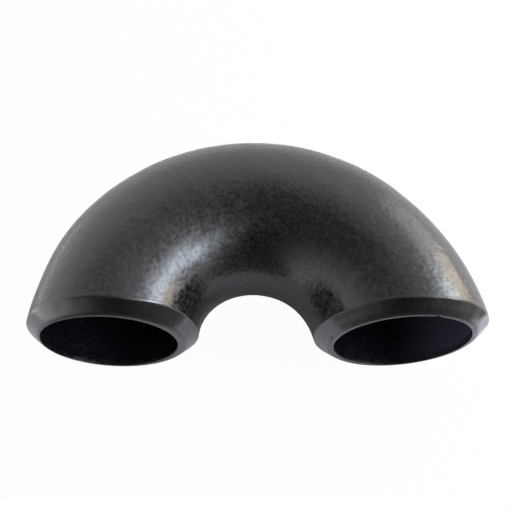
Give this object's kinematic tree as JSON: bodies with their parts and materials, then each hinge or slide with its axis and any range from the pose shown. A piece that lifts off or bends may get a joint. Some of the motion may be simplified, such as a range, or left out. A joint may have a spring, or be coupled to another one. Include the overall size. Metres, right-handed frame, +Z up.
{
  "type": "return bend",
  "caption": "Thick-walled steel pipe return bend: a tube formed through a half circle to turn flow back along a parallel pipe, with bevelled open ends for butt welding.",
  "frame": {"origin": "centre of the part's footprint, on the surface that it lies on", "axes": "+X from the left leg to the right leg, -Y out of both open ends, +Z up, square to the plane of the bend"},
  "size_m": [0.1618, 0.083, 0.0603],
  "materials": {
    "black_paint": "satin black paint over blasted steel"
  },
  "bodies": {
    "root": {"return_bend": "black_paint"}
  },
  "joints": []
}
